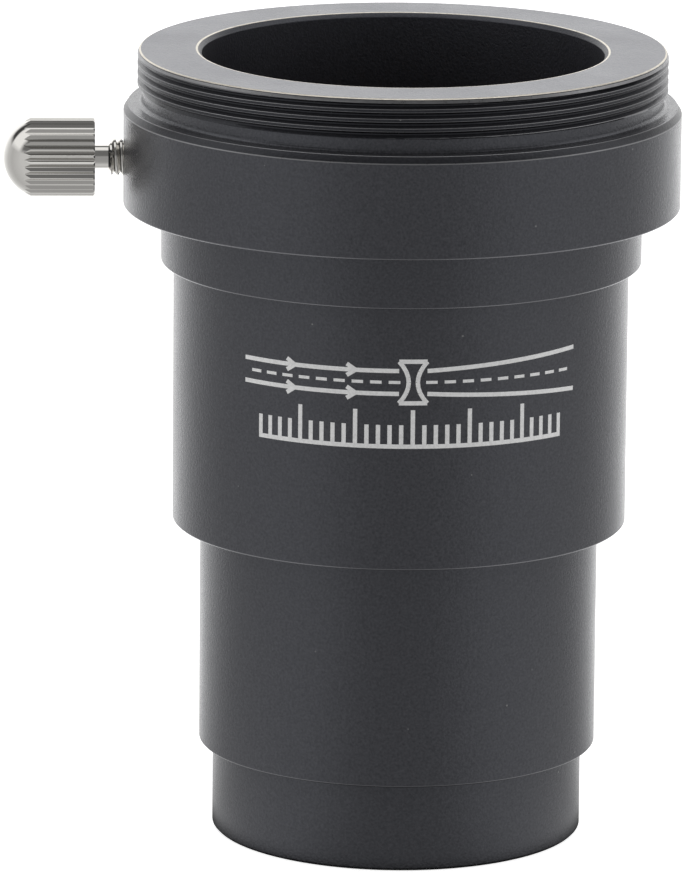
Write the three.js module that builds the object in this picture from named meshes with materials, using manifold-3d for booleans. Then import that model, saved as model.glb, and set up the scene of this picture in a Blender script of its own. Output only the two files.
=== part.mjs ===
// Barlow lens for 1.25 inch telescope eyepieces, in millimetres, +Z towards the eyepiece.
//
// From the bottom up: the lens cell screws into the nosepiece barrel, the nosepiece is
// fixed in the main tube, and the eyepiece holder closes the top with an M42 camera
// thread, a 1.25 inch socket and a thumb screw that presses a split brass clamp ring.
// All turned pieces share one optical axis. The whole part is centred on its bounding
// box, so the thumb screw moves the optical axis a little towards +X.

import * as THREE from 'three';
import { mergeVertices } from 'three/addons/utils/BufferGeometryUtils.js';
import Module from 'manifold-3d';

const wasm = await Module();
wasm.setup();

// ---------------------------------------------------------------- driving dimensions

// Heights of the visible steps above the surface that the lens cell stands on.
const TOTAL_HEIGHT = 63.1;
const THREAD_BOTTOM = 59.9;
const COLLAR_TOP = 58.8;
const COLLAR_BOTTOM = 50.7;
const SHOULDER_BOTTOM = 46.2;
const TUBE_BOTTOM = 25.2;
const NOSE_BOTTOM = 7.05;

// Outer radii of the same steps.
const THREAD_RADIUS = 20.95;
const THREAD_ROOT_RADIUS = 20.54;
const THREAD_PITCH = 0.75;
const NECK_RADIUS = 20.6;
const COLLAR_RADIUS = 22.05;
const SHOULDER_RADIUS = 19.05;
const TUBE_RADIUS = 18.05;
const NOSE_RADIUS = 15.85;
const CELL_RADIUS = 14.75;

// The 1.25 inch socket and the small bevels on every turned edge.
const SOCKET_RADIUS = 15.88;
const SOCKET_BEVEL = 0.34;
const EDGE_BEVEL = 0.12;
const CELL_BEVEL = 0.2;
const COLLAR_BEVEL_WIDTH = 0.36;
const COLLAR_BEVEL_HEIGHT = 0.55;

// Clearance between pieces: end to end, between a threaded spigot and its bore, and past
// the end of the cell's thread.
const FACE_GAP = 0.05;
const THREAD_GAP = 0.15;
const END_CLEARANCE = 0.25;

// Spigots that join one turned piece to the next.
const TUBE_SPIGOT_TOP = 49.4;
const TUBE_SPIGOT_RADIUS = 17.2;
const TUBE_BORE_RADIUS = NOSE_RADIUS + THREAD_GAP;
const NOSE_TOP = 31;
const NOSE_BORE_RADIUS = 13.6;
const CELL_TOP = 12.1;
const CELL_SPIGOT_RADIUS = 14.2;

// Clamp ring groove in the socket wall, and the ring in it.
const RING_INNER_RADIUS = 15.95;
const RING_OUTER_RADIUS = 16.75;
const RING_HEIGHT = 4;
const RING_SPLIT = 3;
const GROOVE_RADIUS = 17.6;
const GROOVE_HEIGHT = 4.4;

// Thumb screw: an M3 x 0.5 screw with a knurled, domed head, pointing along -X.
const SCREW_HEIGHT = 54.4;
const HEAD_RADIUS = 3.1;
const HEAD_LENGTH = 7.27;
const DOME_HEIGHT = 2.2;
const KNURL_TEETH = 32;
const KNURL_DEPTH = 0.2;
const SCREW_NECK_RADIUS = 0.96;
const SCREW_NECK_LENGTH = 1.06;
const SHANK_RADIUS = 1.33;
const SHANK_TIP_BEVEL = 0.3;
const TAPPED_HOLE_RADIUS = 1.5;
const HEAD_CLEAR_OF_COLLAR = 2.23;
const TIP_CLEAR_OF_RING = 0.3;

// Lens group in the cell: a concave element, a spacer, a meniscus and a threaded ring.
const LENS_RADIUS = 10;
const LENS_POCKET_RADIUS = 10.15;
const LENS_SEAT_HEIGHT = 10.85;
const LENS_SEAT_RADIUS = 9.2;
const FILTER_BORE_RADIUS = 13.95;
const FILTER_BORE_DEPTH = 3;
const LOCK_BORE_RADIUS = 10.9;
const LOCK_RING_RADIUS = 10.75;
const LOCK_RING_HOLE = 8.9;
const LOCK_RING_HEIGHT = 1;
const LOCK_SLOT_WIDTH = 1.2;
const LOCK_SLOT_DEPTH = 0.5;
const OUTER_CURVE = 34;
const INNER_CURVE = 22;
const MENISCUS_CURVE = 60;
const CONCAVE_CENTRE = 1.3;
const MENISCUS_CENTRE = 2.4;
const SPACER_HEIGHT = 0.5;
const SPACER_HOLE = 9.3;

// Light baffle in the top of the nosepiece.
const BAFFLE_POCKET_RADIUS = 14.6;
const BAFFLE_POCKET_DEPTH = 2.6;
const BAFFLE_RADIUS = 14.45;
const BAFFLE_HOLE = 11;
const BAFFLE_HEIGHT = 0.8;

const SEGMENTS = 48;
const LENS_SEGMENTS = 36;
const CURVE_STEPS = 6;

// Sizes worked out from the ones above.
const HEAD_BACK_X = -(COLLAR_RADIUS + HEAD_CLEAR_OF_COLLAR);
const SCREW_TIP_X = -(RING_OUTER_RADIUS + TIP_CLEAR_OF_RING);
const SCREW_REACH = HEAD_LENGTH - HEAD_BACK_X;
const OPTICAL_AXIS_X = (SCREW_REACH - COLLAR_RADIUS) / 2;
const SHANK_END = SCREW_TIP_X - HEAD_BACK_X;

// ---------------------------------------------------------------- materials

function metal(colour, roughness, metalness) {
  return new THREE.MeshStandardMaterial({ color: colour, roughness, metalness });
}

function glass(colour) {
  return new THREE.MeshStandardMaterial({
    color: colour,
    roughness: 0.03,
    metalness: 0,
    transparent: true,
    opacity: 0.35,
  });
}

const blackAnodised = metal(0x2c2d30, 0.42, 0.7);
const matteBlack = metal(0x141416, 0.85, 0.2);
const nickelPlate = metal(0xc9c7c2, 0.16, 1);
const brass = metal(0xb8923f, 0.3, 1);

// ---------------------------------------------------------------- helpers

// A turned piece: the outline is a closed list of [radius, height] pairs, and the
// lathe's own axis is Y, so the geometry is stood up along Z.
function turned(outline, segments = SEGMENTS) {
  const points = outline.map(([radius, height]) => new THREE.Vector2(radius, height));
  points.push(points[0].clone());
  const geometry = new THREE.LatheGeometry(points, segments);
  geometry.rotateX(Math.PI / 2);
  return geometry;
}

function toSolid(geometry) {
  const bare = geometry.clone();
  bare.deleteAttribute('normal');
  bare.deleteAttribute('uv');
  const merged = mergeVertices(bare, 1e-5);
  return new wasm.Manifold(new wasm.Mesh({
    numProp: 3,
    vertProperties: new Float32Array(merged.attributes.position.array),
    triVerts: new Uint32Array(merged.index.array),
  }));
}

function toGeometry(solid) {
  const result = solid.getMesh();
  const geometry = new THREE.BufferGeometry();
  geometry.setAttribute('position', new THREE.BufferAttribute(result.vertProperties, 3));
  geometry.setIndex(new THREE.BufferAttribute(result.triVerts, 1));
  geometry.computeVertexNormals();
  return geometry;
}

function piece(name, geometry, material) {
  const mesh = new THREE.Mesh(geometry, material);
  mesh.name = name;
  return mesh;
}

// Depth of a spherical surface at a given distance from its axis.
function sag(curve, radius) {
  return curve - Math.sqrt(curve * curve - radius * radius);
}

// Points of a spherical surface from one radius to another; a positive bend rises
// towards the rim.
function sphericalFace(curve, bend, centreHeight, fromRadius, toRadius) {
  const points = [];
  for (let step = 0; step <= CURVE_STEPS; step += 1) {
    const radius = THREE.MathUtils.lerp(fromRadius, toRadius, step / CURVE_STEPS);
    points.push([radius, centreHeight + bend * sag(curve, radius)]);
  }
  return points;
}

// ---------------------------------------------------------------- eyepiece holder

// Crests and roots of the M42 camera thread, as rings one pitch apart.
function cameraThread() {
  const points = [];
  const leadIn = TOTAL_HEIGHT - THREAD_PITCH;
  const turns = Math.floor((leadIn - THREAD_BOTTOM) / THREAD_PITCH);
  for (let turn = 0; turn < turns; turn += 1) {
    const crest = THREAD_BOTTOM + (turn + 0.5) * THREAD_PITCH;
    points.push([THREAD_ROOT_RADIUS, crest - THREAD_PITCH / 2]);
    points.push([THREAD_RADIUS, crest]);
  }
  points.push([THREAD_ROOT_RADIUS, THREAD_BOTTOM + turns * THREAD_PITCH]);
  points.push([THREAD_RADIUS, leadIn]);
  points.push([THREAD_RADIUS - EDGE_BEVEL, TOTAL_HEIGHT]);
  return points;
}

function eyepieceHolder() {
  const spigotBore = TUBE_SPIGOT_RADIUS + THREAD_GAP;
  const grooveBottom = SCREW_HEIGHT - GROOVE_HEIGHT / 2;
  const grooveTop = SCREW_HEIGHT + GROOVE_HEIGHT / 2;
  const body = toSolid(turned([
    [spigotBore, SHOULDER_BOTTOM],
    [SHOULDER_RADIUS - EDGE_BEVEL, SHOULDER_BOTTOM],
    [SHOULDER_RADIUS, SHOULDER_BOTTOM + EDGE_BEVEL],
    [SHOULDER_RADIUS, COLLAR_BOTTOM],
    [COLLAR_RADIUS - EDGE_BEVEL, COLLAR_BOTTOM],
    [COLLAR_RADIUS, COLLAR_BOTTOM + EDGE_BEVEL],
    [COLLAR_RADIUS, COLLAR_TOP - COLLAR_BEVEL_HEIGHT],
    [COLLAR_RADIUS - COLLAR_BEVEL_WIDTH, COLLAR_TOP],
    [NECK_RADIUS, COLLAR_TOP],
    [NECK_RADIUS, THREAD_BOTTOM],
    ...cameraThread(),
    [SOCKET_RADIUS + SOCKET_BEVEL, TOTAL_HEIGHT],
    [SOCKET_RADIUS, TOTAL_HEIGHT - SOCKET_BEVEL],
    [SOCKET_RADIUS, grooveTop],
    [GROOVE_RADIUS, grooveTop],
    [GROOVE_RADIUS, grooveBottom],
    [SOCKET_RADIUS, grooveBottom],
    [SOCKET_RADIUS, TUBE_SPIGOT_TOP + FACE_GAP],
    [spigotBore, TUBE_SPIGOT_TOP + FACE_GAP],
  ]));
  const wall = COLLAR_RADIUS - SOCKET_RADIUS + 2;
  const drill = new THREE.CylinderGeometry(TAPPED_HOLE_RADIUS, TAPPED_HOLE_RADIUS, wall, 24);
  drill.rotateZ(Math.PI / 2);
  drill.translate(-(COLLAR_RADIUS + SOCKET_RADIUS) / 2, 0, SCREW_HEIGHT);
  return piece('eyepiece_holder', toGeometry(body.subtract(toSolid(drill))), blackAnodised);
}

function clampRing() {
  const bottom = SCREW_HEIGHT - RING_HEIGHT / 2;
  const top = SCREW_HEIGHT + RING_HEIGHT / 2;
  const ring = toSolid(turned([
    [RING_INNER_RADIUS, bottom],
    [RING_OUTER_RADIUS, bottom],
    [RING_OUTER_RADIUS, top],
    [RING_INNER_RADIUS, top],
  ]));
  const split = new THREE.BoxGeometry(4, RING_SPLIT, RING_HEIGHT + 1);
  split.translate(RING_INNER_RADIUS, 0, SCREW_HEIGHT);
  return piece('clamp_ring', toGeometry(ring.subtract(toSolid(split))), brass);
}

// ---------------------------------------------------------------- thumb screw

// The screw is turned about its own axis with the back of the head at height 0, then
// laid along X with its tip towards the optical axis.
function thumbScrew() {
  const domeCurve = (HEAD_RADIUS ** 2 + DOME_HEIGHT ** 2) / (2 * DOME_HEIGHT);
  const dome = sphericalFace(domeCurve, 1, -HEAD_LENGTH, 0, HEAD_RADIUS);
  const blank = toSolid(turned([...dome, [HEAD_RADIUS, 0], [0, 0]], KNURL_TEETH * 2));

  const outline = new THREE.Shape();
  for (let corner = 0; corner < KNURL_TEETH * 2; corner += 1) {
    const radius = HEAD_RADIUS - (corner % 2) * KNURL_DEPTH;
    const angle = corner * Math.PI / KNURL_TEETH;
    const point = [radius * Math.cos(angle), radius * Math.sin(angle)];
    if (corner === 0) outline.moveTo(...point);
    else outline.lineTo(...point);
  }
  outline.closePath();
  const knurl = new THREE.ExtrudeGeometry(outline, { depth: HEAD_LENGTH + 1, bevelEnabled: false });
  knurl.translate(0, 0, -HEAD_LENGTH - 0.5);

  const shank = toSolid(turned([
    [0, -1],
    [SCREW_NECK_RADIUS, -1],
    [SCREW_NECK_RADIUS, SCREW_NECK_LENGTH],
    [SHANK_RADIUS, SCREW_NECK_LENGTH + SHANK_RADIUS - SCREW_NECK_RADIUS],
    [SHANK_RADIUS, SHANK_END - SHANK_TIP_BEVEL],
    [SHANK_RADIUS - SHANK_TIP_BEVEL, SHANK_END],
    [0, SHANK_END],
  ], 24));

  const solid = blank.intersect(toSolid(knurl)).add(shank);
  const screw = piece('thumb_screw', toGeometry(solid), nickelPlate);
  screw.rotation.y = Math.PI / 2;
  screw.position.set(HEAD_BACK_X, 0, SCREW_HEIGHT);
  return screw;
}

// ---------------------------------------------------------------- tubes

function mainTube() {
  const shoulder = SHOULDER_BOTTOM - FACE_GAP;
  return piece('main_tube', turned([
    [TUBE_BORE_RADIUS, TUBE_BOTTOM],
    [TUBE_RADIUS - EDGE_BEVEL, TUBE_BOTTOM],
    [TUBE_RADIUS, TUBE_BOTTOM + EDGE_BEVEL],
    [TUBE_RADIUS, shoulder],
    [TUBE_SPIGOT_RADIUS, shoulder],
    [TUBE_SPIGOT_RADIUS, TUBE_SPIGOT_TOP],
    [TUBE_BORE_RADIUS, TUBE_SPIGOT_TOP],
  ]), blackAnodised);
}

function nosepieceBarrel() {
  const bottom = NOSE_BOTTOM + FACE_GAP;
  const threadBore = CELL_SPIGOT_RADIUS + THREAD_GAP;
  return piece('nosepiece_barrel', turned([
    [threadBore, bottom],
    [NOSE_RADIUS - EDGE_BEVEL, bottom],
    [NOSE_RADIUS, bottom + EDGE_BEVEL],
    [NOSE_RADIUS, NOSE_TOP],
    [BAFFLE_POCKET_RADIUS, NOSE_TOP],
    [BAFFLE_POCKET_RADIUS, NOSE_TOP - BAFFLE_POCKET_DEPTH],
    [NOSE_BORE_RADIUS, NOSE_TOP - BAFFLE_POCKET_DEPTH],
    [NOSE_BORE_RADIUS, CELL_TOP + END_CLEARANCE],
    [threadBore, CELL_TOP + END_CLEARANCE],
  ]), blackAnodised);
}

function lightBaffle() {
  const bottom = NOSE_TOP - BAFFLE_POCKET_DEPTH + FACE_GAP;
  return piece('light_baffle', turned([
    [BAFFLE_HOLE, bottom],
    [BAFFLE_RADIUS, bottom],
    [BAFFLE_RADIUS, bottom + BAFFLE_HEIGHT],
    [BAFFLE_HOLE + BAFFLE_HEIGHT / 2, bottom + BAFFLE_HEIGHT],
  ]), matteBlack);
}

// ---------------------------------------------------------------- lens cell

const LOCK_BORE_TOP = FILTER_BORE_DEPTH + LOCK_RING_HEIGHT + 3 * FACE_GAP;
const LOCK_RING_BOTTOM = LOCK_BORE_TOP - FACE_GAP - LOCK_RING_HEIGHT;

function lensCell() {
  return piece('lens_cell', turned([
    [FILTER_BORE_RADIUS, 0],
    [CELL_RADIUS - CELL_BEVEL, 0],
    [CELL_RADIUS, CELL_BEVEL],
    [CELL_RADIUS, NOSE_BOTTOM],
    [CELL_SPIGOT_RADIUS, NOSE_BOTTOM],
    [CELL_SPIGOT_RADIUS, CELL_TOP],
    [LENS_SEAT_RADIUS, CELL_TOP],
    [LENS_SEAT_RADIUS, LENS_SEAT_HEIGHT],
    [LENS_POCKET_RADIUS, LENS_SEAT_HEIGHT],
    [LENS_POCKET_RADIUS, LOCK_BORE_TOP],
    [LOCK_BORE_RADIUS, LOCK_BORE_TOP],
    [LOCK_BORE_RADIUS, FILTER_BORE_DEPTH],
    [FILTER_BORE_RADIUS, FILTER_BORE_DEPTH],
  ]), blackAnodised);
}

// The lens heights follow from the stack: each rim rests on the piece below it.
const CONCAVE_RIM_BOTTOM = LOCK_BORE_TOP + FACE_GAP / 2;
const CONCAVE_CENTRE_BOTTOM = CONCAVE_RIM_BOTTOM + sag(OUTER_CURVE, LENS_RADIUS);
const CONCAVE_CENTRE_TOP = CONCAVE_CENTRE_BOTTOM + CONCAVE_CENTRE;
const CONCAVE_RIM_TOP = CONCAVE_CENTRE_TOP + sag(INNER_CURVE, LENS_RADIUS);
const SPACER_BOTTOM = CONCAVE_RIM_TOP + FACE_GAP;
const MENISCUS_RIM_BOTTOM = SPACER_BOTTOM + SPACER_HEIGHT + FACE_GAP;
const MENISCUS_CENTRE_BOTTOM = MENISCUS_RIM_BOTTOM - sag(INNER_CURVE, LENS_RADIUS);

function concaveElement() {
  const lower = sphericalFace(OUTER_CURVE, -1, CONCAVE_CENTRE_BOTTOM, 0, LENS_RADIUS);
  const upper = sphericalFace(INNER_CURVE, 1, CONCAVE_CENTRE_TOP, LENS_RADIUS, 0);
  return piece('concave_element', turned([...lower, ...upper], LENS_SEGMENTS), glass(0xdde9e4));
}

// The spacer's upper face slopes inwards to follow the meniscus that rests on it.
function lensSpacer() {
  const slope = sag(INNER_CURVE, LENS_RADIUS) - sag(INNER_CURVE, SPACER_HOLE);
  return piece('lens_spacer', turned([
    [SPACER_HOLE, SPACER_BOTTOM],
    [LENS_RADIUS, SPACER_BOTTOM],
    [LENS_RADIUS, SPACER_BOTTOM + SPACER_HEIGHT],
    [SPACER_HOLE, SPACER_BOTTOM + SPACER_HEIGHT - slope],
  ], LENS_SEGMENTS), matteBlack);
}

function meniscusElement() {
  const topCentre = MENISCUS_CENTRE_BOTTOM + MENISCUS_CENTRE;
  const lower = sphericalFace(INNER_CURVE, 1, MENISCUS_CENTRE_BOTTOM, 0, LENS_RADIUS);
  const upper = sphericalFace(MENISCUS_CURVE, 1, topCentre, LENS_RADIUS, 0);
  return piece('meniscus_element', turned([...lower, ...upper], LENS_SEGMENTS), glass(0xd6e6ea));
}

function lensLockRing() {
  const top = LOCK_RING_BOTTOM + LOCK_RING_HEIGHT;
  const ring = toSolid(turned([
    [LOCK_RING_HOLE, LOCK_RING_BOTTOM],
    [LOCK_RING_RADIUS, LOCK_RING_BOTTOM],
    [LOCK_RING_RADIUS, top],
    [LOCK_RING_HOLE, top],
  ]));
  const slots = new THREE.BoxGeometry(LOCK_RING_RADIUS * 3, LOCK_SLOT_WIDTH, LOCK_SLOT_DEPTH * 2);
  slots.translate(0, 0, LOCK_RING_BOTTOM);
  return piece('lens_lock_ring', toGeometry(ring.subtract(toSolid(slots))), matteBlack);
}

// ---------------------------------------------------------------- assembly

const lensGroup = new THREE.Group();
lensGroup.add(lensCell(), lensLockRing(), concaveElement(), lensSpacer(), meniscusElement());

const clampGroup = new THREE.Group();
clampGroup.add(clampRing(), thumbScrew());

const tubeGroup = new THREE.Group();
tubeGroup.add(eyepieceHolder(), mainTube(), nosepieceBarrel(), lightBaffle());

const barlowLens = new THREE.Group();
barlowLens.name = 'barlow_lens';
barlowLens.position.x = OPTICAL_AXIS_X;
barlowLens.add(tubeGroup, clampGroup, lensGroup);

export default barlowLens;
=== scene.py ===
# %% [markdown]
# # A barlow lens, built piece by piece
# A barlow lens is a short black tube that a telescope's eyepiece slides into. On the
# real one nearly every piece is turned on a lathe from aluminium bar, blasted with fine
# beads and anodised black, and a small plated brass screw holds the eyepiece. The packed
# CAD model gives the frame, so this script only loads it and builds finer pieces in the
# same places, in metres.

# %% Load the frame
import math

import bpy
from mathutils import Matrix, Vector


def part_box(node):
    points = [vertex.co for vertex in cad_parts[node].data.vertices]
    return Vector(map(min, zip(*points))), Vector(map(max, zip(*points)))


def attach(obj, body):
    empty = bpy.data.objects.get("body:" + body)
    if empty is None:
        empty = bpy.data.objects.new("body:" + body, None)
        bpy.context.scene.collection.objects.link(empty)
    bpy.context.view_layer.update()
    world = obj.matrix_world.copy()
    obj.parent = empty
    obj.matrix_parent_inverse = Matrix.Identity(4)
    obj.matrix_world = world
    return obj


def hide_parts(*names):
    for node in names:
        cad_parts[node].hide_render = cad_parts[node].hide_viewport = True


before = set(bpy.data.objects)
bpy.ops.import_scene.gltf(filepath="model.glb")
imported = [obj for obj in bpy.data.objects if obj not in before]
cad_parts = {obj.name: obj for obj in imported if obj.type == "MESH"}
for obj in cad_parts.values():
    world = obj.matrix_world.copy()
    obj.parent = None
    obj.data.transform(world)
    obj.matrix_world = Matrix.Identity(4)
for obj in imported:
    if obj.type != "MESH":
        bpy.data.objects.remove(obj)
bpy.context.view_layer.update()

MM = 0.001

# %% [markdown]
# ## Sizes from the frame
# A turned piece is known by its outer radius and its two ends. They are read from each
# CAD node's box, so that a finer piece can't drift away from the solid it stands for.
# The thumb screw lies along X, and all other pieces share one upright optical axis.


# %% Read the sizes
def turned_size(node):
    """Outer radius, bottom and top of an upright turned node, in millimetres."""
    low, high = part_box(node)
    return (high.y - low.y) / 2 / MM, low.z / MM, high.z / MM


tube_low, tube_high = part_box("main_tube")
AXIS = (tube_low.x + tube_high.x) / 2
COLLAR_RADIUS, SHOULDER_BOTTOM, TOP = turned_size("eyepiece_holder")
TUBE_RADIUS, TUBE_BOTTOM, TUBE_TOP = turned_size("main_tube")
NOSE_RADIUS, NOSE_BOTTOM, NOSE_TOP = turned_size("nosepiece_barrel")
CELL_RADIUS, CELL_BOTTOM, CELL_TOP = turned_size("lens_cell")
print("optical axis at x =", round(AXIS / MM, 3), "mm, height", round(TOP, 2), "mm")

# %% [markdown]
# ## Camera
# The view is a long lens from a little above, as in a catalogue: far enough away for the
# tube's sides to stay almost parallel, and tilted down about 13 degrees so that the rim
# of the socket opens as an ellipse. It stands slightly to the screw's side.

# %% Place the camera
CAMERA_DISTANCE = 0.665
CAMERA_HEIGHT = 0.1871
CAMERA_SWING = math.radians(-2.3)
CAMERA_HEADING = math.radians(-1.917)
CAMERA_DIP = math.radians(13.16)
CAMERA_ROLL = math.radians(0.494)

lens = bpy.data.cameras.new("long_lens")
lens.sensor_width = 36
lens.lens = 352.7
lens.clip_start = 0.01
lens.clip_end = 20
camera = bpy.data.objects.new("camera", lens)
bpy.context.scene.collection.objects.link(camera)
camera.location = (
    AXIS + CAMERA_DISTANCE * math.sin(CAMERA_SWING),
    -CAMERA_DISTANCE * math.cos(CAMERA_SWING),
    CAMERA_HEIGHT,
)
aim = (
    Matrix.Rotation(CAMERA_HEADING, 4, "Z")
    @ Matrix.Rotation(math.pi / 2 - CAMERA_DIP, 4, "X")
    @ Matrix.Rotation(CAMERA_ROLL, 4, "Z")
)
camera.rotation_euler = aim.to_euler()
bpy.context.scene.camera = camera
bpy.context.scene.view_settings.view_transform = "Standard"
print("camera at", [round(c, 3) for c in camera.location])

# %% [markdown]
# ## Node and colour helpers
# Paint charts give colours as sRGB hex values, and Blender's shaders work in linear
# light, so one function turns one into the other. A second small function adds a node,
# fills in its settings and plugs in its links, which keeps each material short.


# %% Helpers for materials
def linear(hex_colour):
    """An sRGB hex colour as linear red, green, blue and alpha."""
    shares = [int(hex_colour[i : i + 2], 16) / 255 for i in (1, 3, 5)]
    return [s / 12.92 if s <= 0.04045 else ((s + 0.055) / 1.055) ** 2.4 for s in shares] + [1]


def add_node(tree, kind, settings=(), links=()):
    """Adds a node. A setting is an input socket, a property, or the stops of a ramp."""
    node = tree.nodes.new(kind)
    for name, value in dict(settings).items():
        if name == "stops":
            while len(node.color_ramp.elements) < len(value):
                node.color_ramp.elements.new(1)
            for element, (position, colour) in zip(node.color_ramp.elements, value):
                element.position = position
                element.color = colour
        elif isinstance(name, int) or name in node.inputs:
            node.inputs[name].default_value = value
        else:
            setattr(node, name, value)
    for name, output in dict(links).items():
        tree.links.new(output, node.inputs[name])
    return node


def new_material(name):
    """An empty material's node tree, with its output node."""
    material = bpy.data.materials.new(name)
    material.use_nodes = True
    material.node_tree.nodes.clear()
    output = add_node(material.node_tree, "ShaderNodeOutputMaterial")
    return material, material.node_tree, output


def grey(share):
    """A neutral colour of that linear brightness."""
    return (share, share, share, 1)


def per_mm(size):
    """Texture scale whose cells are size millimetres across, on Object coordinates."""
    return 1 / (size * MM)


print("white and mid grey, linear:", linear("#ffffff")[0], round(linear("#808080")[0], 3))

# %% [markdown]
# ## Light
# Small shiny things are shown in a white tent: white walls all round and a pale table
# below. The tent is open where the camera stands, which shows as a soft dark stripe down
# the middle of every round piece. The wall at the back is the brightest, which draws the
# pale outline along both sides. Above, a lamp forms an arch from side to side over the
# piece, and the gaps before and behind it are dark, which gives the bright metal its
# contrast and the rounded edges their thin bright line.
#
# Both the low walls and the high arch go by a direction's Y part: -1 is the open side and
# 1 is the back wall. The Z part blends from one to the other.

# %% White tent
BACK_WALL = 1.45
WALL_SHARES = (
    (-1.0, 0.42),
    (-0.95, 0.45),
    (-0.84, 0.64),
    (-0.7, 0.78),
    (-0.4, 0.78),
    (0.2, 0.62),
    (0.5, 0.76),
    (0.72, 1.04),
    (0.88, BACK_WALL),
)
ARCH_SHARES = (
    (-1.0, 0.2),
    (-0.35, 0.2),
    (-0.15, 1.2),
    (0.4, 1.2),
    (0.48, 0.06),
    (0.66, 0.06),
    (0.8, BACK_WALL),
)
ARCH_FOOT = 0.2
ARCH_FULL = 0.38


def by_depth(tree, parts, shares):
    """Brightness as a share of the back wall's, by a direction's Y part."""
    place = add_node(
        tree, "ShaderNodeMapRange", {"From Min": -1, "From Max": 1}, {"Value": parts.outputs["Y"]}
    )
    stops = [((y + 1) / 2, grey(share / BACK_WALL)) for y, share in shares]
    ramp = add_node(tree, "ShaderNodeValToRGB", {"stops": stops}, {0: place.outputs["Result"]})
    return ramp.outputs["Color"]


tent = bpy.data.worlds.new("white_tent")
tent.use_nodes = True
tent_tree = tent.node_tree
tent_tree.nodes.clear()
direction = add_node(tent_tree, "ShaderNodeTexCoord").outputs["Generated"]
direction_parts = add_node(tent_tree, "ShaderNodeSeparateXYZ", links={0: direction})
height = add_node(
    tent_tree,
    "ShaderNodeMapRange",
    {"From Min": ARCH_FOOT, "From Max": ARCH_FULL},
    {"Value": direction_parts.outputs["Z"]},
)
tent_light = add_node(
    tent_tree,
    "ShaderNodeMix",
    {"data_type": "RGBA"},
    {
        0: height.outputs["Result"],
        6: by_depth(tent_tree, direction_parts, WALL_SHARES),
        7: by_depth(tent_tree, direction_parts, ARCH_SHARES),
    },
)
background = add_node(
    tent_tree,
    "ShaderNodeBackground",
    {"Strength": BACK_WALL},
    {"Color": tent_light.outputs[2]},
)
plain_white = add_node(tent_tree, "ShaderNodeBackground", {"Color": grey(1)})
seen = add_node(
    tent_tree,
    "ShaderNodeMixShader",
    links={
        0: add_node(tent_tree, "ShaderNodeLightPath").outputs["Is Camera Ray"],
        1: background.outputs[0],
        2: plain_white.outputs[0],
    },
)
add_node(tent_tree, "ShaderNodeOutputWorld", links={"Surface": seen.outputs[0]})
bpy.context.scene.world = tent

# %% [markdown]
# The table is a sheet of opal glass lit from below, so it stays white right up to the
# piece that stands on it, with only a soft shadow at the foot. The tent shows behind the
# table's edge as plain white. In the piece's reflections both keep the tent's light and
# dark sides, which is what Light Path's camera ray switch is for.

# %% Pale table
TABLE_RADIUS = 2.5
TABLE_GLOW = 0.8
SHADOW_REACH = 2.5
SHADOW_LIGHT = 0.03

bpy.ops.object.select_all(action="DESELECT")
bpy.ops.mesh.primitive_circle_add(vertices=96, radius=TABLE_RADIUS, fill_type="NGON")
table = bpy.context.object
table.name = "light_table"
opal, opal_tree, opal_output = new_material("opal_glass_table")
centred = add_node(
    opal_tree,
    "ShaderNodeMapping",
    {"Location": (-AXIS, 0, 0)},
    {0: add_node(opal_tree, "ShaderNodeTexCoord").outputs["Object"]},
)
outwards = add_node(
    opal_tree,
    "ShaderNodeVectorMath",
    {"operation": "NORMALIZE"},
    {0: centred.outputs["Vector"]},
)
away = add_node(
    opal_tree, "ShaderNodeVectorMath", {"operation": "LENGTH"}, {0: centred.outputs["Vector"]}
)
foot_shadow = add_node(
    opal_tree,
    "ShaderNodeMapRange",
    {
        "From Min": CELL_RADIUS * MM,
        "From Max": (CELL_RADIUS + SHADOW_REACH) * MM,
        "To Min": SHADOW_LIGHT,
        "To Max": BACK_WALL,
    },
    {"Value": away.outputs["Value"]},
)
outward_parts = add_node(
    opal_tree, "ShaderNodeSeparateXYZ", links={0: outwards.outputs["Vector"]}
)
table_light = add_node(
    opal_tree,
    "ShaderNodeEmission",
    links={
        "Color": by_depth(opal_tree, outward_parts, WALL_SHARES),
        "Strength": foot_shadow.outputs["Result"],
    },
)
table_glass = add_node(
    opal_tree,
    "ShaderNodeBsdfPrincipled",
    {
        "Base Color": linear("#e6e6e6"),
        "Roughness": 0.6,
        "Emission Color": grey(1),
        "Emission Strength": TABLE_GLOW,
    },
)
table_surface = add_node(
    opal_tree,
    "ShaderNodeMixShader",
    links={
        0: add_node(opal_tree, "ShaderNodeLightPath").outputs["Is Camera Ray"],
        1: table_light.outputs[0],
        2: table_glass.outputs[0],
    },
)
opal_tree.links.new(table_surface.outputs[0], opal_output.inputs["Surface"])
table.data.materials.append(opal)
print("table", TABLE_RADIUS * 2, "m across, back wall", BACK_WALL)

# %% [markdown]
# ## Black anodised aluminium, bead blasted
# Anodising turns the aluminium's skin into a clear, glass-hard oxide that holds black
# dye. To the eye it is a dark dielectric and not a bare metal: nearly black face on,
# with a broad silvery sheen where the surface turns away. Blasting with fine beads
# leaves pits of about a tenth of a millimetre, which a noise bump gives. They are drawn
# twice as coarse, because finer ones would not show, and the dye's depth follows them,
# which gives the black its grain. A wider, weaker noise varies the roughness as handling
# does, and a few specks of lint lie on it, each some hundredths of its cell wide.

# %% Black anodised finish
NOISE_LOW, NOISE_HIGH = 0.3, 0.7  # nearly all of a noise's values lie between these
BLAST_PIT = 0.2
BLAST_DEPTH = 0.03
DYE_SPREAD = 0.38
HANDLED_PATCH = 7
GLOSS_SPREAD = 0.03
LINT_SPACING = 2.6
LINT_CORE, LINT_EDGE = 0.022, 0.038
BLACK_DYE = "#39393c"


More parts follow.
